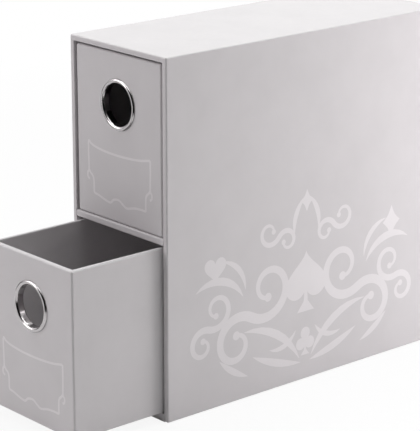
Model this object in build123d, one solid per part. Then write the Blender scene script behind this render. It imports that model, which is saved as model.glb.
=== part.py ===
from build123d import *
from math import cos, radians, sin
import os

# Two-drawer playing card box: a paper-covered board case, open at the front,
# with two trays that slide out of it one above the other.
# Millimetres. X is the width, the open front faces -Y, Z is up.
# The origin is on the underside, under the middle of the case.

# Drawer, sized round one row of sleeved cards standing on edge
drawer_width = 77.8
drawer_height = 102.0
drawer_length = 220.0
drawer_board = 2.1
drawer_corner_radius = 1.2
lining_drop = 0.4

# Case
wall_board = 2.7
deck_board = 3.9
case_corner_radius = 0.9
shelf_nose_radius = 0.8
case_turn_in = 15.0
case_flap = 12.0
cover_margin = 1.0

# Covering paper, the same on the case and the drawers, and how far it presses the boards' edges
paper = 0.3
pressed_edge = 0.4

# Room for the drawers to slide in their bays
side_clearance = 1.8
floor_clearance = 0.3
top_clearance = 1.5
back_clearance = 1.0
front_recess = 0.5

# How far the lower drawer stands out of the case at rest
lower_drawer_out = 65.8

# Finger ring: a rolled eyelet, clinched over a washer inside the drawer
ring_drop = 30.3
ring_bore_radius = 12.75
ring_flange_width = 2.75
ring_rise = 1.2
ring_crest_flat = 0.15
ring_sheet = 0.5
ring_facet_angle = 30
ring_hole_clearance = 0.15
curl_radius = 1.05
washer_thickness = 0.6
washer_flange_width = 2.1
washer_clearance = 0.1
turn_in_clearance = 1.85

# What follows from the driving dimensions
bay_width = drawer_width + 2 * side_clearance
bay_height = floor_clearance + drawer_height + top_clearance
wall_thickness = paper + wall_board + paper
shelf_thickness = paper + deck_board + paper
base_thickness = paper + paper + deck_board + paper
back_thickness = paper + wall_board + paper + paper
case_width = bay_width + 2 * wall_thickness
case_height = base_thickness + bay_height + shelf_thickness + bay_height + wall_thickness
case_depth = front_recess + drawer_length + back_clearance + back_thickness

half_width = case_width / 2
half_bay = bay_width / 2
front = -case_depth / 2
back = case_depth / 2
bay_back = back - back_thickness
lower_bay_floor = base_thickness
upper_bay_floor = base_thickness + bay_height + shelf_thickness
bay_floors = {"lower": lower_bay_floor, "upper": upper_bay_floor}
drawer_travel = {"lower": lower_drawer_out, "upper": 0.0}

drawer_wall = paper + drawer_board
ring_hole_radius = ring_bore_radius + ring_sheet + ring_hole_clearance
ring_mouth_radius = ring_flange_width - ring_rise - ring_crest_flat
ring_wall = drawer_wall + paper
washer_bore_radius = ring_bore_radius + ring_sheet + washer_clearance
washer_radius = washer_bore_radius + washer_flange_width
drawer_turn_in = ring_drop - washer_radius - turn_in_clearance


def block(x0, x1, y0, y1, z0, z1):
    """A box between two corners."""
    middle = Pos((x0 + x1) / 2, (y0 + y1) / 2, (z0 + z1) / 2)
    return middle * Box(x1 - x0, y1 - y0, z1 - z0)


def rounded_block(x0, x1, y0, y1, z0, z1, radius):
    """A box between two corners, with all its edges rounded."""
    box = block(x0, x1, y0, y1, z0, z1)
    return fillet(box.edges(), radius)


def chamfered_block(x0, x1, y0, y1, z0, z1, size):
    """A box between two corners, with all its edges bevelled."""
    box = block(x0, x1, y0, y1, z0, z1)
    return chamfer(box.edges(), size)


def save(name, shape):
    """Write one piece to its own file."""
    export_step(shape, f"parts/{name}.step")


# ---------------------------------------------------------------- case boards

def case_core():
    """The outline of the boards: the case less its covering papers."""
    return chamfered_block(
        -half_width + paper, half_width - paper,
        front + paper, back - 2 * paper,
        2 * paper, case_height - paper,
        pressed_edge,
    )


def case_boards():
    """Six greyboards: two full-height sides, top, base and shelf between them, and the back."""
    core = case_core()
    inner = half_width - paper - wall_board
    board_back = bay_back + paper
    shelf_bottom = lower_bay_floor + bay_height + paper
    top_bottom = case_height - paper - wall_board
    side_left = block(-half_width, -inner, front, board_back, 0, case_height)
    side_right = block(inner, half_width, front, board_back, 0, case_height)
    top = block(-inner, inner, front, board_back, top_bottom, case_height)
    base = block(-inner, inner, front, board_back, 0, 2 * paper + deck_board)
    shelf = block(-inner, inner, front, board_back, shelf_bottom, shelf_bottom + deck_board) & core
    shelf_nose = shelf.edges().filter_by(Axis.X).group_by(Axis.Y)[0]
    rear = block(-half_width, half_width, board_back, back, 0, case_height)
    return {
        "case_left_board": core & side_left,
        "case_right_board": core & side_right,
        "case_top_board": core & top,
        "case_base_board": core & base,
        "case_shelf_board": fillet(shelf_nose, shelf_nose_radius),
        "case_back_board": core & rear,
    }


# ---------------------------------------------------------------- case papers

def case_outer_wrap():
    """One sheet over the left side, top and right side.

    It turns over the front edges into the bays, under the base and onto the back.
    """
    outer = rounded_block(
        -half_width, half_width, front, back - paper, paper, case_height, case_corner_radius
    )
    sheet = outer - case_core()
    between_flaps = half_width - case_flap
    ceiling = case_height - wall_thickness
    turned = front + case_turn_in
    under = block(-between_flaps, between_flaps, front, back, 0, base_thickness)
    behind = block(
        -between_flaps, between_flaps, bay_back, back, 0, case_height - case_flap
    )
    mouth = block(-half_bay - paper, half_bay + paper, front, turned, 0, ceiling + paper)
    clear = block(-half_bay, half_bay, front, turned, 0, ceiling)
    base_gap = block(-half_width, half_width, front, turned, 0, base_thickness)
    shelf_gap = block(
        -half_width, half_width, front, turned, lower_bay_floor + bay_height, upper_bay_floor
    )
    turn_in = mouth - clear - base_gap - shelf_gap
    return sheet - under - behind - mouth + turn_in


def case_base_paper():
    """Sheet over the underside and the base's front edge, turned in onto the floor of the bay."""
    under = block(
        -half_width + cover_margin, half_width - cover_margin,
        front + case_corner_radius, back - cover_margin, 0, paper,
    )
    edge = block(-half_bay, half_bay, front, front + paper, 0, base_thickness)
    lip = block(-half_bay, half_bay, front, front + case_corner_radius, 0, paper)
    floor = block(
        -half_bay, half_bay, front, front + case_turn_in, base_thickness - paper, base_thickness
    )
    return under + lip + edge + floor


def case_shelf_wrap():
    """Strip round the shelf's front edge, turned onto its top and bottom faces."""
    underside = lower_bay_floor + bay_height
    strip = block(
        -half_bay, half_bay, front, front + case_turn_in, underside, upper_bay_floor
    )
    nose = strip.edges().filter_by(Axis.X).group_by(Axis.Y)[0]
    return fillet(nose, shelf_nose_radius + paper) - case_boards()["case_shelf_board"]


def case_back_paper():
    """Sheet over the back board and the wrap's rear flaps."""
    return block(
        -half_width + cover_margin, half_width - cover_margin,
        back - paper, back, cover_margin, case_height - cover_margin,
    )


def bay_lining(floor):
    """Sleeve of paper inside one bay, behind the turned-in edges, with its own back panel."""
    start = front + case_turn_in
    outside = block(
        -half_bay - paper, half_bay + paper, start, bay_back + paper,
        floor - paper, floor + bay_height + paper,
    )
    inside = block(-half_bay, half_bay, start, bay_back, floor, floor + bay_height)
    return outside - inside


# -------------------------------------------------------------------- drawers

def ring_cutter(radius):
    """The round finger hole through the front of a drawer whose front face is at y = 0."""
    height = drawer_height - ring_drop
    depth = 4 * ring_wall
    return Pos(0, 0, height) * Rot(90, 0, 0) * Cylinder(radius, depth)


def drawer_core():
    """The outline of the boards: the drawer less its covering paper."""
    half = drawer_width / 2 - paper
    return chamfered_block(
        -half, half, paper, drawer_length - paper, paper, drawer_height - paper, pressed_edge
    )


def drawer_well(inset, top, bottom=drawer_wall):
    """The space inside the boards, drawn in by some layers of paper."""
    half = drawer_width / 2 - drawer_wall - inset
    near = drawer_wall + inset
    far = drawer_length - drawer_wall - inset
    return block(-half, half, near, far, bottom, top)


def drawer_boards():
    """A bottom board with the front and back standing across it and the sides between them."""
    core = drawer_core()
    half = drawer_width / 2
    inner = half - drawer_wall
    near = drawer_wall
    far = drawer_length - drawer_wall
    bottom = block(-half, half, 0, drawer_length, 0, drawer_wall)
    front_slab = block(-half, half, 0, near, drawer_wall, drawer_height)
    back_slab = block(-half, half, far, drawer_length, drawer_wall, drawer_height)
    left_slab = block(-half, -inner, near, far, drawer_wall, drawer_height)
    right_slab = block(inner, half, near, far, drawer_wall, drawer_height)
    return {
        "bottom_board": core & bottom,
        "front_board": (core & front_slab) - ring_cutter(ring_hole_radius),
        "back_board": core & back_slab,
        "left_board": core & left_slab,
        "right_board": core & right_slab,
    }


def drawer_wrap():
    """One cross-shaped sheet: over the bottom, up the four walls, over the rim and down inside."""
    half = drawer_width / 2
    outer = rounded_block(
        -half, half, 0, drawer_length, 0, drawer_height, drawer_corner_radius
    )
    above = 2 * drawer_height
    skin = outer - drawer_core() - drawer_well(0, above)
    turn_in_foot = drawer_height - drawer_turn_in
    turn_in = drawer_well(0, drawer_height, turn_in_foot)
    turn_in = turn_in - drawer_well(paper, above, turn_in_foot - paper)
    return skin + turn_in - ring_cutter(ring_hole_radius)


def drawer_wall_lining():
    """Band of lining paper round the inside of the walls.

    Its upper part lies over the wrap's turned-in edge, so it steps back below that edge.
    """
    step = drawer_height - drawer_turn_in
    rim = drawer_height - lining_drop
    above = 2 * drawer_height
    upper = drawer_well(paper, rim, step - paper)
    upper = upper - drawer_well(2 * paper, above, step - 2 * paper)
    lower = drawer_well(0, step)
    lower = lower - drawer_well(paper, above, 0)
    return upper + lower - ring_cutter(ring_hole_radius)


def drawer_floor_lining():
    """Sheet of lining paper on the bottom board, inside the wall band."""
    return drawer_well(paper, drawer_wall + paper)


def bend(middle, radius, start, end):
    """Points round one bend of the ring's sheet metal, as short straight facets."""
    facets = round(abs(end - start) / ring_facet_angle)
    angles = [radians(start + (end - start) * step / facets) for step in range(facets + 1)]
    return [
        (middle[0] + radius * cos(angle), middle[1] + radius * sin(angle)) for angle in angles
    ]


def finger_ring():
    """Rolled eyelet: a domed flange on the front, a barrel through the wall and a curled end."""
    bore = ring_bore_radius
    barrel = bore + ring_sheet
    rim_middle = (bore + ring_flange_width - ring_rise, 0)
    mouth_middle = (bore + ring_mouth_radius, ring_mouth_radius - ring_rise)
    curl_middle = (bore + curl_radius, ring_wall + washer_thickness)
    outline = bend(rim_middle, ring_rise, 0, -90)
    outline += bend(mouth_middle, ring_mouth_radius, -90, -180)
    outline += bend(curl_middle, curl_radius, 180, 0)
    outline += [(barrel, curl_middle[1]), (barrel, rim_middle[1])]
    return revolve(make_face(Polyline(*outline, close=True)), Axis.Y)


def ring_washer():
    """Flat steel ring between the lining and the eyelet's curled end."""
    ring = Cylinder(washer_radius, washer_thickness)
    ring -= Cylinder(washer_bore_radius, 2 * washer_thickness)
    return Pos(0, ring_wall + washer_thickness / 2, 0) * Rot(90, 0, 0) * ring


def drawer_pieces():
    """Every piece of one drawer, with the middle of its front face's lower edge at the origin."""
    ring_height = Pos(0, 0, drawer_height - ring_drop)
    pieces = drawer_boards()
    pieces["outer_wrap"] = drawer_wrap()
    pieces["wall_lining"] = drawer_wall_lining()
    pieces["floor_lining"] = drawer_floor_lining()
    pieces["finger_ring"] = ring_height * finger_ring()
    pieces["ring_washer"] = ring_height * ring_washer()
    return pieces


# ---------------------------------------------------------------------- build

os.makedirs("parts", exist_ok=True)

for name, shape in case_boards().items():
    save(name, shape)

save("case_outer_wrap", case_outer_wrap())
save("case_base_paper", case_base_paper())
save("case_shelf_wrap", case_shelf_wrap())
save("case_back_paper", case_back_paper())

for level, floor in bay_floors.items():
    save(f"{level}_bay_lining", bay_lining(floor))

drawer = drawer_pieces()
for level, floor in bay_floors.items():
    place = Pos(0, front + front_recess - drawer_travel[level], floor + floor_clearance)
    for name, shape in drawer.items():
        save(f"{level}_drawer_{name}", place * shape)
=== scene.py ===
import math

import bpy
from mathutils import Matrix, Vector
from mathutils.geometry import delaunay_2d_cdt


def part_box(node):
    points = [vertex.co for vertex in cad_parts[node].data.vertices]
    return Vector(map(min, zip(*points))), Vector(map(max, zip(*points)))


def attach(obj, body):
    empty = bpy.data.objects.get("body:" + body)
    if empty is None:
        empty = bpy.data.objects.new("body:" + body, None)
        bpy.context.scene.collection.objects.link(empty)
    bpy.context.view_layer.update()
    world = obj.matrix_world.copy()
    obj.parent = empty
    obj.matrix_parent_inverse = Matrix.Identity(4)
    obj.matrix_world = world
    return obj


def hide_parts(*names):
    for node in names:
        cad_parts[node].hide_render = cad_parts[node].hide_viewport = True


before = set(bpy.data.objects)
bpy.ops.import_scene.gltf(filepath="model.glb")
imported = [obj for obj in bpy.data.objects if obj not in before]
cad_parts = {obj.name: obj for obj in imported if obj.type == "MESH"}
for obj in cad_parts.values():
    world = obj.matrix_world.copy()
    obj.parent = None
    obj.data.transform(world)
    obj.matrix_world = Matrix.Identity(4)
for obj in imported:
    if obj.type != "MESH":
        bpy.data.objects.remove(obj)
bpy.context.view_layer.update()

MM = 0.001

# ---- where things are, from the CAD model -------------------------------------------
case_low, case_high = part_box("case_outer_wrap")
drawer_boxes = {
    "upper_drawer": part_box("upper_drawer_outer_wrap"),
    "lower_drawer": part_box("lower_drawer_outer_wrap"),
}

# ---- camera ---------------------------------------------------------------------------
CAMERA_AT = (0.9265, -0.85035, 0.4753)
CAMERA_AZIMUTH = 48.873
CAMERA_ELEVATION = 16.793
CAMERA_LENS = 180.0
CAMERA_SENSOR = 36.0
CAMERA_CLIP = (0.05, 50.0)


def make_camera():
    data = bpy.data.cameras.new("camera")
    data.sensor_fit = "HORIZONTAL"
    data.sensor_width = CAMERA_SENSOR
    data.lens = CAMERA_LENS
    data.clip_start, data.clip_end = CAMERA_CLIP
    camera = bpy.data.objects.new("camera", data)
    bpy.context.scene.collection.objects.link(camera)
    azimuth = math.radians(CAMERA_AZIMUTH)
    elevation = math.radians(CAMERA_ELEVATION)
    forward = Vector(
        (
            -math.sin(azimuth) * math.cos(elevation),
            math.cos(azimuth) * math.cos(elevation),
            -math.sin(elevation),
        )
    )
    camera.location = CAMERA_AT
    camera.rotation_mode = "QUATERNION"
    camera.rotation_quaternion = forward.to_track_quat("-Z", "Y")
    bpy.context.scene.camera = camera


# ---- materials ------------------------------------------------------------------------
# The part of a noise's range that nearly all of it lies in
NOISE_RANGE = (0.3, 0.7)


def new_material(name):
    material = bpy.data.materials.new(name)
    material.use_nodes = True
    tree = material.node_tree
    tree.nodes.clear()
    output = tree.nodes.new("ShaderNodeOutputMaterial")
    shader = tree.nodes.new("ShaderNodeBsdfPrincipled")
    tree.links.new(shader.outputs["BSDF"], output.inputs["Surface"])
    return material, tree, shader


def object_coordinates(tree, stretch=(1.0, 1.0, 1.0)):
    source = tree.nodes.new("ShaderNodeTexCoord")
    mapping = tree.nodes.new("ShaderNodeMapping")
    mapping.inputs["Scale"].default_value = stretch
    tree.links.new(source.outputs["Object"], mapping.inputs["Vector"])
    return mapping.outputs["Vector"]


def noise(tree, coordinates, scale, detail=4.0, roughness=0.6):
    node = tree.nodes.new("ShaderNodeTexNoise")
    node.inputs["Scale"].default_value = scale
    node.inputs["Detail"].default_value = detail
    node.inputs["Roughness"].default_value = roughness
    tree.links.new(coordinates, node.inputs["Vector"])
    return node.outputs["Fac"]


def ramp(tree, factor, stops):
    node = tree.nodes.new("ShaderNodeValToRGB")
    elements = node.color_ramp.elements
    while len(elements) > 1:
        elements.remove(elements[-1])
    elements[0].position = stops[0][0]
    elements[0].color = (*stops[0][1], 1.0)
    for position, colour in stops[1:]:
        elements.new(position).color = (*colour, 1.0)
    tree.links.new(factor, node.inputs["Fac"])
    return node.outputs["Color"]


def spread(tree, factor, low, high):
    """A noise spread over the range from low to high."""
    node = tree.nodes.new("ShaderNodeMapRange")
    node.inputs["From Min"].default_value = NOISE_RANGE[0]
    node.inputs["From Max"].default_value = NOISE_RANGE[1]
    node.inputs["To Min"].default_value = low
    node.inputs["To Max"].default_value = high
    tree.links.new(factor, node.inputs["Value"])
    return node.outputs["Result"]


def math_node(tree, operation, first, second):
    node = tree.nodes.new("ShaderNodeMath")
    node.operation = operation
    tree.links.new(first, node.inputs[0])
    tree.links.new(second, node.inputs[1])
    return node.outputs["Value"]


def bump(tree, shader, height, distance, strength):
    node = tree.nodes.new("ShaderNodeBump")
    node.inputs["Strength"].default_value = strength
    node.inputs["Distance"].default_value = distance
    tree.links.new(height, node.inputs["Height"])
    tree.links.new(node.outputs["Normal"], shader.inputs["Normal"])


# Covering papers. Clouds, grain, handling and fibres are scales of noise, and a bump, here and
# below, is its depth in metres and its strength.
SILVER = (0.602, 0.579, 0.590)
SILVER_CONTRAST = (0.975, 1.02)
SILVER_ROUGHNESS = 0.52
SILVER_SHEEN = 0.05
SILVER_FIBRE = 1500.0
PRINT_LIFT = 1.20
LINING = (0.630, 0.606, 0.617)
LINING_CONTRAST = (0.955, 1.045)
LINING_ROUGHNESS = 0.62
LINING_SHEEN = 0.16
LINING_FIBRE = 1300.0
# The case's bay linings are the lining paper darkened to this part of its tone: painted shade in the
# recessed bays.
BAY_LINING_PAINTED_SHADE = 0.19
PAPER_CLOUDS = 38.0
CLOUD_STOPS = (0.30, 0.52, 0.74)
PAPER_GRAIN = 2.4
PAPER_HANDLING = 260.0
PAPER_ROUGHNESS_SPREAD = (-0.04, 0.05)
PAPER_SPECULAR = 0.35
PAPER_SHEEN_ROUGHNESS = 0.5
PAPER_BUMP = (0.00002, 0.6)
FIBRE_DIRECTIONS = ((0.12, 1.0, 1.0), (1.0, 0.12, 1.0), (1.0, 1.0, 0.14))


def scaled(colour, factor):
    return tuple(channel * factor for channel in colour)


def paper_material(name, shade, contrast, roughness, sheen, fibre):
    """A pressed covering paper: soft clouds of tone, fibres in three directions and fine grain."""
    material, tree, shader = new_material(name)
    plain = object_coordinates(tree)
    tones = (scaled(shade, contrast[0]), shade, scaled(shade, contrast[1]))
    tone = ramp(tree, noise(tree, plain, PAPER_CLOUDS, detail=3.0), list(zip(CLOUD_STOPS, tones)))
    tree.links.new(tone, shader.inputs["Base Color"])
    along_x, along_y, along_z = (
        noise(tree, object_coordinates(tree, stretch), fibre, detail=5.0)
        for stretch in FIBRE_DIRECTIONS
    )
    fibres = math_node(tree, "ADD", math_node(tree, "ADD", along_x, along_y), along_z)
    grain = noise(tree, plain, fibre * PAPER_GRAIN, detail=2.0)
    bump(tree, shader, math_node(tree, "ADD", fibres, grain), *PAPER_BUMP)
    smoothest, roughest = (roughness + change for change in PAPER_ROUGHNESS_SPREAD)
    rough = spread(tree, noise(tree, plain, PAPER_HANDLING), smoothest, roughest)
    tree.links.new(rough, shader.inputs["Roughness"])
    shader.inputs["Specular IOR Level"].default_value = PAPER_SPECULAR
    shader.inputs["Sheen Weight"].default_value = sheen
    shader.inputs["Sheen Roughness"].default_value = PAPER_SHEEN_ROUGHNESS
    return material


def silver_paper(name="silver_paper", lift=1.0):
    shade = scaled(SILVER, lift)
    return paper_material(
        name, shade, SILVER_CONTRAST, SILVER_ROUGHNESS, SILVER_SHEEN, SILVER_FIBRE
    )


def lining_paper(name="lining_paper", depth=1.0):
    # A depth below 1 darkens the lining paper: painted shade, used for the linings of the case's
    # bays.
    shade = scaled(LINING, depth)
    return paper_material(
        name, shade, LINING_CONTRAST, LINING_ROUGHNESS, LINING_SHEEN, LINING_FIBRE
    )


BOARD_TONES = [(0.30, (0.20, 0.19, 0.17)), (0.5, (0.36, 0.34, 0.31)), (0.72, (0.46, 0.44, 0.40))]
BOARD_FLECKS = 900.0
BOARD_PLIES = 420.0
BOARD_PLY_STRETCH = (1.0, 1.0, 6.0)
BOARD_ROUGHNESS = (0.82, 0.95)
BOARD_BUMP = (0.00006, 0.8)


def greyboard():
    material, tree, shader = new_material("greyboard")
    flecks = noise(tree, object_coordinates(tree), BOARD_FLECKS, detail=6.0, roughness=0.7)
    tree.links.new(ramp(tree, flecks, BOARD_TONES), shader.inputs["Base Color"])
    plies = noise(tree, object_coordinates(tree, BOARD_PLY_STRETCH), BOARD_PLIES)
    bump(tree, shader, math_node(tree, "ADD", flecks, plies), *BOARD_BUMP)
    tree.links.new(spread(tree, plies, *BOARD_ROUGHNESS), shader.inputs["Roughness"])
    return material


CHROME_TONES = [(0.3, (0.44, 0.42, 0.425)), (0.7, (0.51, 0.49, 0.495))]
CHROME_TARNISH = 180.0
CHROME_HANDLING = 420.0
CHROME_GRAIN = 2600.0
CHROME_ROUGHNESS = (0.13, 0.19)
CHROME_BUMP = (0.000002, 0.3)


def chrome():
    material, tree, shader = new_material("chrome_ring")
    plain = object_coordinates(tree)
    tarnish = noise(tree, plain, CHROME_TARNISH)
    tree.links.new(ramp(tree, tarnish, CHROME_TONES), shader.inputs["Base Color"])
    shader.inputs["Metallic"].default_value = 1.0
    handling = noise(tree, plain, CHROME_HANDLING, detail=5.0)
    tree.links.new(spread(tree, handling, *CHROME_ROUGHNESS), shader.inputs["Roughness"])
    bump(tree, shader, noise(tree, plain, CHROME_GRAIN, detail=3.0), *CHROME_BUMP)
    return material


STEEL_TONES = [(0.3, (0.50, 0.50, 0.51)), (0.7, (0.66, 0.66, 0.67))]
STEEL_BRUSHING = 2400.0
STEEL_BRUSH_STRETCH = (0.08, 1.0, 1.0)
STEEL_ROUGHNESS = (0.26, 0.40)
STEEL_BUMP = (0.00001, 0.6)


def washer_steel():
    material, tree, shader = new_material("washer_steel")
    along = object_coordinates(tree, STEEL_BRUSH_STRETCH)
    brushed = noise(tree, along, STEEL_BRUSHING, detail=5.0)
    tree.links.new(ramp(tree, brushed, STEEL_TONES), shader.inputs["Base Color"])
    shader.inputs["Metallic"].default_value = 1.0
    tree.links.new(spread(tree, brushed, *STEEL_ROUGHNESS), shader.inputs["Roughness"])
    bump(tree, shader, brushed, *STEEL_BUMP)
    return material


def dress(name, material):
    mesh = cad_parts[name].data
    mesh.materials.clear()
    mesh.materials.append(material)


# The material of each CAD node, by how its name ends: the first ending that fits
MATERIAL_OF_ENDING = {
    "_board": "greyboard",
    "_bay_lining": "bay_lining_painted_shade_paper",
    "_lining": "lining_paper",
    "_wrap": "silver_paper",
    "_paper": "silver_paper",
    "_finger_ring": "chrome_ring",
    "_ring_washer": "washer_steel",
}


def dress_all(materials):
    for name in sorted(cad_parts):
        for ending, material in MATERIAL_OF_ENDING.items():
            if name.endswith(ending):
                dress(name, materials[material])
                break


# ---- finger rings -------------------------------------------------------------------------
# The eyelet's sizes, as in the CAD model: its bore, sheet, and the bends of its edge, mouth and curl
RING_BORE = 12.75 * MM
RING_SHEET = 0.5 * MM
RING_RISE = 1.2 * MM
RING_MOUTH = 1.4 * MM
RING_CURL = 1.05 * MM
RING_SEGMENTS = 144
RING_SHARP = 50.0
ARC_STEPS = 10


def arc(middle, radius, start, end, steps=ARC_STEPS):
    """Points (radius, depth) on a bend, from the angle start to the angle end, in degrees."""
    points = []
    for step in range(steps + 1):
        angle = math.radians(start + (end - start) * step / steps)
        points.append((middle[0] + radius * math.cos(angle), middle[1] + radius * math.sin(angle)))
    return points


def lathe(name, outline, centre, material):
    """Turns a closed outline of (radius, depth) round an axis along Y through centre."""
    count = len(outline)
    vertices = []
    for turn in range(RING_SEGMENTS):
        angle = 2 * math.pi * turn / RING_SEGMENTS
        for radius, depth in outline:
            vertices.append(
                (
                    centre[0] + radius * math.cos(angle),
                    centre[1] + depth,
                    centre[2] + radius * math.sin(angle),
                )
            )
    faces = []
    for turn in range(RING_SEGMENTS):
        here = turn * count
        there = (turn + 1) % RING_SEGMENTS * count
        for index in range(count):
            after = (index + 1) % count
            faces.append((here + index, there + index, there + after, here + after))
    return make_mesh(name, vertices, faces, material, smooth=True)


def make_mesh(name, vertices, faces, material, smooth=False):
    mesh = bpy.data.meshes.new(name)
    mesh.from_pydata(vertices, [], faces)
    mesh.validate()
    mesh.materials.append(material)
    mesh.polygons.foreach_set("use_smooth", [smooth] * len(mesh.polygons))
    mesh.update()
    piece = bpy.data.objects.new(name, mesh)
    bpy.context.scene.collection.objects.link(piece)
    return piece


def finger_ring(body, material):
    """The rolled eyelet of one drawer, in the place of its solid."""
    node = body + "_finger_ring"
    low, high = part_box(node)
    centre = ((low.x + high.x) / 2, low.y + RING_RISE, (low.z + high.z) / 2)
    flange = (high.x - low.x) / 2
    curl_depth = high.y - centre[1] - RING_CURL
    barrel = RING_BORE + RING_SHEET
    outline = arc((flange - RING_RISE, 0.0), RING_RISE, 0.0, -90.0)
    outline += arc((RING_BORE + RING_MOUTH, RING_MOUTH - RING_RISE), RING_MOUTH, -90.0, -180.0)
    outline += arc((RING_BORE + RING_CURL, curl_depth), RING_CURL, 180.0, 0.0, 2 * ARC_STEPS)
    outline += [(barrel, curl_depth), (barrel, 0.0)]
    ring = lathe(body + "_rolled_ring", outline, centre, material)
    ring.data.set_sharp_from_angle(angle=math.radians(RING_SHARP))
    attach(ring, body)
    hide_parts(node)


# ---- prints -------------------------------------------------------------------------------
# Thin slabs of ink. A shape is an outline of points in millimetres on the printed face, and most
# patterns are lists of shapes that overlap.
PRINT_RISE = 0.03 * MM
PRINT_FOOT = 0.03 * MM
LEAST_TRIANGLE = 0.0005
JOINING_GAP = 1e-4
KEEP_INSIDE = 1  # the triangulation keeps only what the outlines enclose
LINE_STEPS = 10
DISC_SIDES = 28
SPIRAL_STEP = 9
LEAST_SPIRAL_STEPS = 8
SCROLL_TAPER = 0.62
LEAF_FULLNESS = 0.8
LEAF_TIP = 0.25


def smooth_line(knots):
    """Catmull-Rom points through the knots."""
    ends = [knots[0], *knots, knots[-1]]
    points = []
    for index in range(1, len(ends) - 2):
        before, start, end, after = ends[index - 1 : index + 3]
        for step in range(LINE_STEPS):
            t = step / LINE_STEPS
            points.append(
                tuple(
                    0.5
                    * (
                        2 * b
                        + (c - a) * t
                        + (2 * a - 5 * b + 4 * c - d) * t * t
                        + (3 * b - a - 3 * c + d) * t * t * t
                    )
                    for a, b, c, d in zip(before, start, end, after)
                )
            )
    points.append(knots[-1])
    return points


def even(width):
    return lambda t: width


def leafy(widest):
    return lambda t: max(LEAF_TIP, widest * math.sin(math.pi * t) ** LEAF_FULLNESS)


def turning(a, b, c):
    """Twice the area of the triangle, more than 0 where it runs anticlockwise."""
    return (b[0] - a[0]) * (c[1] - a[1]) - (b[1] - a[1]) * (c[0] - a[0])


def ribbon(points, width):
    """Triangles of a band along the points; width(t) is its width, t from 0 to 1."""
    count = len(points)
    left, right = [], []
    for index, (x, y) in enumerate(points):
        ahead = points[min(index + 1, count - 1)]
        behind = points[max(index - 1, 0)]
        dx, dy = ahead[0] - behind[0], ahead[1] - behind[1]
        length = math.hypot(dx, dy)
        half = width(index / (count - 1)) / 2
        nx, ny = -dy / length * half, dx / length * half
        left.append((x + nx, y + ny))
        right.append((x - nx, y - ny))
    band = []
    for index in range(count - 1):
        ahead = index + 1
        band.append([right[index], right[ahead], left[ahead]])
        band.append([right[index], left[ahead], left[index]])
    return [triangle for triangle in band if turning(*triangle) > LEAST_TRIANGLE]


def disc(x, y, radius):
    turns = [2 * math.pi * side / DISC_SIDES for side in range(DISC_SIDES)]
    return [[(x + radius * math.cos(turn), y + radius * math.sin(turn)) for turn in turns]]


def spiral(start, heading, radius, turn, shrink):
    """Centre line that leaves start along heading and curls in; turn in degrees, + to the left."""
    side = 1 if turn > 0 else -1
    angle = math.radians(heading)
    centre = (
        start[0] - side * radius * math.sin(angle),
        start[1] + side * radius * math.cos(angle),
    )
    first = angle - side * math.pi / 2
    steps = max(LEAST_SPIRAL_STEPS, int(abs(turn) / SPIRAL_STEP))
    points = []
    for step in range(steps + 1):
        t = step / steps
        now = first + math.radians(turn) * t
        reach = radius * shrink**t
        points.append((centre[0] + reach * math.cos(now), centre[1] + reach * math.sin(now)))
    return points


def scroll(start, heading, ends, widest, bead):
    """An S or C scroll through start, with a bead at the eye of each spiral."""
    (radius_a, turn_a, shrink_a), (radius_b, turn_b, shrink_b) = ends
    backward = spiral(start, heading + 180, radius_a, turn_a, shrink_a)
    forward = spiral(start, heading, radius_b, turn_b, shrink_b)
    line = backward[::-1] + forward[1:]
    middle = (len(backward) - 1) / (len(line) - 1)

    def width(t):
        away = (middle - t) / middle if t < middle else (t - middle) / (1 - middle)
        return widest * (1 - SCROLL_TAPER * away)

    return ribbon(line, width) + disc(*line[0], bead) + disc(*line[-1], bead)


def mirrored(shapes):
    return [[(-x, y) for x, y in reversed(shape)] for shape in shapes]


def moved(shape, x, y, scale):
    return [(x + scale * a, y + scale * b) for a, b in shape]


# The card suits, each about 2 high at scale 1
HEART_STEPS = 48
DIAMOND_STEPS = 8
DIAMOND_WIDTH = 0.72
DIAMOND_PINCH = 0.18
CLUB_LEAVES = (90, 210, 330)
CLUB_LEAF = 0.46
CLUB_REACH = 0.52
CLUB_MIDDLE = 0.25
FOOT_HALF_WIDTH = 0.42
STEM_HALF_WIDTH = 0.10
STEM_TOP_HALF_WIDTH = 0.06
STEM_RISE = 0.40
SPADE_FOOT = -1.25
SPADE_STEM_TOP = -0.2
CLUB_FOOT = -1.15
CLUB_STEM_TOP = 0.0


def suit_stem(foot, top):
    right = [
        (FOOT_HALF_WIDTH, foot),
        (STEM_HALF_WIDTH, foot + STEM_RISE),
        (STEM_TOP_HALF_WIDTH, top),
    ]
    return right + [(-x, y) for x, y in reversed(right)]


def suit_heart(x, y, scale):
    outline = []
    for step in range(HEART_STEPS):
        t = 2 * math.pi * step / HEART_STEPS
        a = math.sin(t) ** 3
        b = (13 * math.cos(t) - 5 * math.cos(2 * t) - 2 * math.cos(3 * t) - math.cos(4 * t)) / 16
        outline.append((-a, b))
    return [moved(outline, x, y, scale)]


def suit_spade(x, y, scale):
    blade = [(a, -b) for a, b in reversed(suit_heart(0.0, 0.0, 1.0)[0])]
    stem = suit_stem(SPADE_FOOT, SPADE_STEM_TOP)
    return [moved(blade, x, y, scale), moved(stem, x, y, scale)]


def suit_diamond(x, y, scale):
    outline = []
    for corner in range(4):
        first = math.radians(90 * corner)
        for step in range(DIAMOND_STEPS):
            t = step / DIAMOND_STEPS
            a = (1 - t) * math.cos(first) + t * math.cos(first + math.pi / 2)
            b = (1 - t) * math.sin(first) + t * math.sin(first + math.pi / 2)
            pinch = 1 - DIAMOND_PINCH * math.sin(math.pi * t)
            outline.append((DIAMOND_WIDTH * a * pinch, b * pinch))
    return [moved(outline, x, y, scale)]


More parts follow.
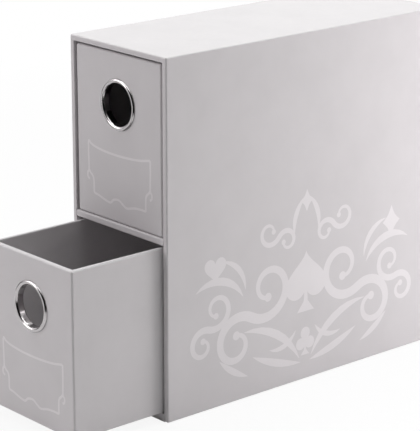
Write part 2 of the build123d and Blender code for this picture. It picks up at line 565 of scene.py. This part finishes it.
def suit_club(x, y, scale):
    leaves = []
    for angle in CLUB_LEAVES:
        a = CLUB_REACH * math.cos(math.radians(angle))
        b = CLUB_REACH * math.sin(math.radians(angle))
        leaves += disc(x + scale * a, y + scale * b, CLUB_LEAF * scale)
    leaves += disc(x, y, CLUB_MIDDLE * scale)
    return leaves + [moved(suit_stem(CLUB_FOOT, CLUB_STEM_TOP), x, y, scale)]


def print_slab(name, shapes, place, material, body):
    """The shapes joined into one thin closed slab; place(x, y, rise) sets a point down."""
    corners, rings = [], []
    for shape in shapes:
        rings.append(list(range(len(corners), len(corners) + len(shape))))
        corners += [Vector(point) for point in shape]
    points, _, faces, _, _, sources = delaunay_2d_cdt(
        corners, [], rings, KEEP_INSIDE, JOINING_GAP, True
    )
    kept = [face for face, source in zip(faces, sources) if source]
    used = sorted({index for face in kept for index in face})
    number = {index: order for order, index in enumerate(used)}
    kept = [[number[index] for index in face] for face in kept]
    count = len(used)
    top = [place(points[index].x, points[index].y, PRINT_RISE) for index in used]
    foot = [place(points[index].x, points[index].y, -PRINT_FOOT) for index in used]
    sides = {}
    for face in kept:
        for first, second in zip(face, face[1:] + face[:1]):
            if (second, first) in sides:
                del sides[(second, first)]
            else:
                sides[(first, second)] = True
    slab = [list(face) for face in kept]
    slab += [[index + count for index in reversed(face)] for face in kept]
    slab += [[second, first, first + count, second + count] for first, second in sides]
    piece = make_mesh(name, top + foot, slab, material)
    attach(piece, body)


# The label outline: knots from the middle of the drawer's front, above its lower edge
LABEL_LINE = 1.45
LABEL_TOP = (
    (-28.6, 44.2), (-27.8, 45.0), (-26.0, 43.6), (-21.0, 42.2), (-12.0, 41.2),
    (0.0, 40.9), (12.0, 41.4), (20.0, 42.2), (26.0, 43.4), (28.8, 43.9),
)
LABEL_LEFT = (
    (-28.6, 44.2), (-28.5, 36.0), (-28.4, 27.5), (-29.6, 25.2), (-29.5, 22.6), (-27.8, 21.4),
)
LABEL_RIGHT = (
    (28.8, 43.9), (28.9, 36.0), (28.7, 26.0), (30.0, 23.8), (29.9, 21.2), (28.2, 20.0),
)
LABEL_FOOT = (
    (-28.4, 27.5), (-27.0, 25.6), (-24.6, 23.6), (-23.8, 20.5), (-23.8, 15.6), (-23.2, 13.8),
    (-19.0, 13.0), (-13.0, 11.4), (-8.4, 10.9), (-5.2, 13.2), (-0.5, 13.9), (3.4, 12.0),
    (7.0, 10.6), (14.0, 12.2), (20.0, 12.7), (24.2, 12.8), (24.4, 15.0), (24.6, 20.0),
    (25.4, 22.4), (27.4, 24.2), (28.7, 26.0),
)


def drawer_label(body, material):
    low, high = drawer_boxes[body]
    middle = (low.x + high.x) / 2

    def place(x, y, rise):
        return (middle + x * MM, low.y - rise, low.z + y * MM)

    shapes = []
    for curve in (LABEL_TOP, LABEL_LEFT, LABEL_RIGHT, LABEL_FOOT):
        shapes += ribbon(smooth_line(curve), even(LABEL_LINE))
    print_slab(body + "_label_outline", shapes, place, material, body)


# The side ornament: x from its middle line, y above its foot. The right half is mirrored.
ORNAMENT_MIDDLE = 111.0
ORNAMENT_FOOT = 4.0
# Start, heading, then radius, turn and shrink of each end, and last the width and the bead
SCROLLS = (
    ((45, 47), 40, ((21, -400, 0.30), (19, -400, 0.30)), 6.4, 2.8),
    ((79, 47), 28, ((13, -380, 0.32), (11, -380, 0.32)), 4.4, 2.0),
    ((23, 93), 118, ((9, 330, 0.40), (8, 330, 0.40)), 3.6, 1.7),
)
# Start, heading, radius and turn of each bent leaf, and its width
LEAVES = (
    ((5, 11), 62, 52, -62, 5.4),
    ((4, 8), 8, 120, 20, 5.0),
    ((48, 10), 20, 60, 26, 4.2),
    ((52, 62), 62, 26, -95, 5.0),
    ((50, 66), 88, 22, -80, 3.6),
    ((30, 22), 200, 18, -80, 3.4),
    ((10, 92), 80, 24, 60, 3.6),
)
SUITS = (
    (suit_spade, 0.0, 62.0, 17.0),
    (suit_club, 0.0, 22.0, 8.5),
    (suit_heart, -74.0, 84.0, 8.5),
    (suit_diamond, 74.0, 84.0, 10.5),
    (suit_diamond, 0.0, 112.0, 7.0),
)


def side_ornament(material):
    shapes = []
    for start, heading, ends, widest, bead in SCROLLS:
        shapes += scroll(start, heading, ends, widest, bead)
    for start, heading, radius, turn, widest in LEAVES:
        shapes += ribbon(spiral(start, heading, radius, turn, 1.0), leafy(widest))
    shapes += mirrored(shapes)
    for suit, x, y, scale in SUITS:
        shapes += suit(x, y, scale)

    def place(x, y, rise):
        return (
            case_high.x + rise,
            case_low.y + (ORNAMENT_MIDDLE + x) * MM,
            (ORNAMENT_FOOT + y) * MM,
        )

    print_slab("case_side_ornament", shapes, place, material, "case")


# ---- light and floor --------------------------------------------------------------------
WHITE = (1.0, 1.0, 1.0, 1.0)
NEUTRAL = (0.975, 1.0, 0.985)
WARM = (1.0, 0.965, 0.98)
WORLD_FILL = 0.05
# Name, place, aim, side, radiance and colour of each square softbox
SOFTBOXES = (
    ("top_softbox", (0, 0.2, 1.3), (0, 0.2, 0), 1.1, 4.8, NEUTRAL),
    ("left_softbox", (-0.9, -1.1, 0.75), (0, 0, 0.1), 0.9, 4.45, WARM),
    ("back_softbox", (0.29, 0.41, 0.16), (0.04, 0.1, 0.08), 0.3, 5.7, WARM),
    ("side_softbox", (0.68, 0.26, 0.46), (0, -0.12, 0.1), 0.4, 1.05, WARM),
)
# Black cards that only reflections show. Name, place, aim, width and height of each
DARK_FLAGS = (
    ("camera_side_flag", (0.74, -0.94, 0.80), (0.0, -0.12, 0.80), 3.5, 1.6),
    ("left_flag", (-1.0, -0.2, 0.08), (0.0, -0.12, 0.08), 1.2, 0.16),
    ("front_floor_flag", (0.75, -1.10, 0.001), (0.75, -1.10, -1.0), 1.7, 1.40),
    ("right_floor_flag", (0.90, -0.24, 0.001), (0.90, -0.24, -1.0), 1.30, 0.32),
    ("left_floor_flag", (-1.00, 0.20, 0.001), (-1.00, 0.20, -1.0), 1.30, 1.20),
)
FLAG_BLACK = (0.01, 0.01, 0.01, 1.0)
FLOOR_WHITE = (0.80, 0.80, 0.80, 1.0)
MATT = 0.9
FLOOR_SPECULAR = 0.1
FLOOR_HALF = 4.0
FLOOR_DROP = 0.2 * MM
# The floor glows a little less round the object, so that its shadow shows
FLOOR_GLOW = (0.90, 1.0)
GLOW_REACH = (0.2, 0.9)


def face_towards(piece, at, aim):
    piece.location = at
    piece.rotation_mode = "QUATERNION"
    piece.rotation_quaternion = (Vector(aim) - Vector(at)).to_track_quat("-Z", "Y")


def softbox(name, at, aim, side, radiance, colour):
    data = bpy.data.lights.new(name, "AREA")
    data.shape = "RECTANGLE"
    data.size = side
    data.size_y = side
    data.energy = radiance * math.pi * side * side
    data.color = colour
    light = bpy.data.objects.new(name, data)
    bpy.context.scene.collection.objects.link(light)
    face_towards(light, at, aim)


def seen_white(tree):
    """1 for the rays that see the white studio: the camera's and those off metal or glass."""
    path = tree.nodes.new("ShaderNodeLightPath")
    straight = math_node(
        tree, "MAXIMUM", path.outputs["Is Camera Ray"], path.outputs["Is Glossy Ray"]
    )
    return math_node(tree, "MAXIMUM", straight, path.outputs["Is Transmission Ray"])


def make_world():
    world = bpy.data.worlds.new("studio")
    world.use_nodes = True
    bpy.context.scene.world = world
    tree = world.node_tree
    tree.nodes.clear()
    output = tree.nodes.new("ShaderNodeOutputWorld")
    mix = tree.nodes.new("ShaderNodeMixShader")
    fill = tree.nodes.new("ShaderNodeBackground")
    white = tree.nodes.new("ShaderNodeBackground")
    fill.inputs["Color"].default_value = WHITE
    fill.inputs["Strength"].default_value = WORLD_FILL
    white.inputs["Color"].default_value = WHITE
    white.inputs["Strength"].default_value = 1.0
    tree.links.new(seen_white(tree), mix.inputs["Fac"])
    tree.links.new(fill.outputs["Background"], mix.inputs[1])
    tree.links.new(white.outputs["Background"], mix.inputs[2])
    tree.links.new(mix.outputs["Shader"], output.inputs["Surface"])


def make_floor():
    material, tree, shader = new_material("studio_floor")
    shader.inputs["Base Color"].default_value = FLOOR_WHITE
    shader.inputs["Roughness"].default_value = MATT
    shader.inputs["Specular IOR Level"].default_value = FLOOR_SPECULAR
    output = tree.nodes["Material Output"]
    glow = tree.nodes.new("ShaderNodeEmission")
    glow.inputs["Strength"].default_value = 1.0
    source = tree.nodes.new("ShaderNodeTexCoord")
    length = tree.nodes.new("ShaderNodeVectorMath")
    length.operation = "LENGTH"
    tree.links.new(source.outputs["Object"], length.inputs["Vector"])
    clear = tree.nodes.new("ShaderNodeMapRange")
    clear.inputs["From Min"].default_value = GLOW_REACH[0]
    clear.inputs["From Max"].default_value = GLOW_REACH[1]
    clear.inputs["To Min"].default_value = FLOOR_GLOW[0]
    clear.inputs["To Max"].default_value = FLOOR_GLOW[1]
    tree.links.new(length.outputs["Value"], clear.inputs["Value"])
    part = math_node(tree, "MULTIPLY", seen_white(tree), clear.outputs["Result"])
    mix = tree.nodes.new("ShaderNodeMixShader")
    tree.links.new(part, mix.inputs["Fac"])
    tree.links.new(shader.outputs["BSDF"], mix.inputs[1])
    tree.links.new(glow.outputs["Emission"], mix.inputs[2])
    tree.links.new(mix.outputs["Shader"], output.inputs["Surface"])
    half, down = FLOOR_HALF, -FLOOR_DROP
    corners = [(-half, -half, down), (half, -half, down), (half, half, down), (-half, half, down)]
    floor = make_mesh("studio_floor", corners, [(0, 1, 2, 3)], material)


def dark_flag(name, at, aim, width, height, material):
    x, y = width / 2, height / 2
    corners = [(-x, -y, 0.0), (x, -y, 0.0), (x, y, 0.0), (-x, y, 0.0)]
    card = make_mesh(name, corners, [(0, 1, 2, 3)], material)
    face_towards(card, at, aim)
    card.visible_camera = False
    card.visible_diffuse = False
    card.visible_shadow = False


def make_dark_flags():
    material, _, shader = new_material("black_card")
    shader.inputs["Base Color"].default_value = FLAG_BLACK
    shader.inputs["Roughness"].default_value = MATT
    shader.inputs["Specular IOR Level"].default_value = 0.0
    for flag in DARK_FLAGS:
        dark_flag(*flag, material)


# ---- the scene --------------------------------------------------------------------------
bpy.context.scene.view_settings.view_transform = "Standard"
make_camera()
make_world()
make_floor()
for box in SOFTBOXES:
    softbox(*box)
make_dark_flags()
materials = {
    "silver_paper": silver_paper(),
    "lining_paper": lining_paper(),
    # The bays' lining is the lining paper darkened: painted shade in the recessed bays.
    "bay_lining_painted_shade_paper": lining_paper("bay_lining_painted_shade_paper", BAY_LINING_PAINTED_SHADE),
    "greyboard": greyboard(),
    "chrome_ring": chrome(),
    "washer_steel": washer_steel(),
}
dress_all(materials)
ink = silver_paper("light_silver_print", PRINT_LIFT)
for body in drawer_boxes:
    finger_ring(body, materials["chrome_ring"])
    drawer_label(body, ink)
side_ornament(ink)
